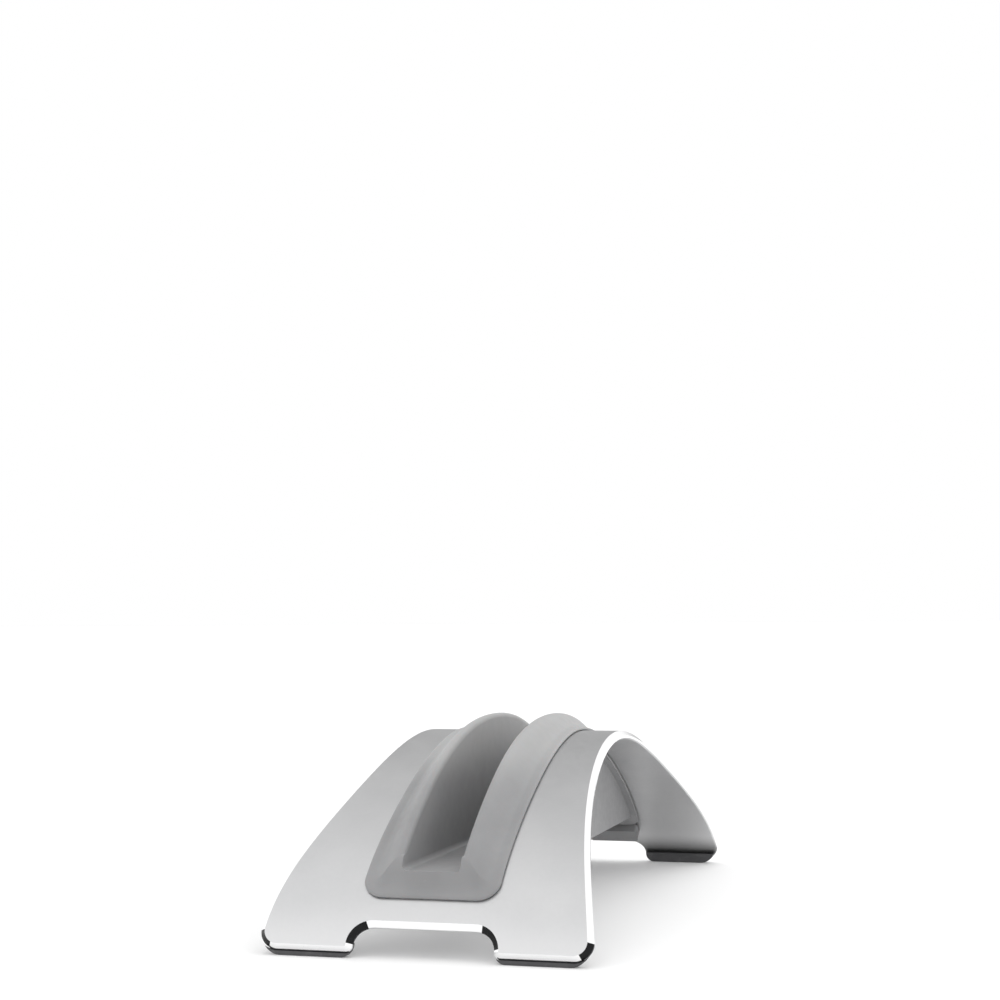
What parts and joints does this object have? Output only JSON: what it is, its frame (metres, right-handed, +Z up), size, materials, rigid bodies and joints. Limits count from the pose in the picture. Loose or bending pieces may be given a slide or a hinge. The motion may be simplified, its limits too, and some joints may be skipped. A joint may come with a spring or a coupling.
{
  "type": "vertical laptop stand",
  "caption": "Bent aluminium arch that holds a closed laptop on edge in a soft-lined, lift-out cradle, with cable notches in both legs",
  "frame": {"origin": "on the floor under the crown of the arch, at the middle of the base", "axes": "+Y along the arch towards the rear foot with the cable catch, +X across it to the right, +Z up"},
  "size_m": [0.0924, 0.21, 0.0594],
  "materials": {
    "arch_aluminium": "bead-blasted and anodised, polished chamfer",
    "tray_plastic": "fine spark-eroded texture",
    "core_plastic": "fine spark-eroded texture",
    "liner_silicone": "matt silicone",
    "foot_rubber": "matt moulded rubber",
    "stud_aluminium": "as drawn",
    "zinc_steel": "bright zinc plate"
  },
  "bodies": {
    "stand": {"arch_shell": "arch_aluminium", "cradle_tray": "tray_plastic", "cable_catch": "liner_silicone", "foot_pad_front_left": "foot_rubber", "foot_pad_front_right": "foot_rubber", "foot_pad_rear_left": "foot_rubber", "foot_pad_rear_right": "foot_rubber", "weld_stud_1": "stud_aluminium", "weld_stud_2": "stud_aluminium", "weld_stud_3": "stud_aluminium", "weld_stud_4": "stud_aluminium", "weld_stud_5": "stud_aluminium", "weld_stud_6": "stud_aluminium", "tray_washer_1": "zinc_steel", "tray_washer_2": "zinc_steel", "tray_washer_3": "zinc_steel", "tray_washer_4": "zinc_steel", "tray_nut_1": "zinc_steel", "tray_nut_2": "zinc_steel", "tray_nut_3": "zinc_steel", "tray_nut_4": "zinc_steel"},
    "insert": {"insert_core": "core_plastic", "insert_liner": "liner_silicone"}
  },
  "joints": [
    {"name": "insert_lift", "type": "slide", "parent": "stand", "child": "insert", "axis": [0, 0, 1], "range_m": [0, 0.045]}
  ]
}
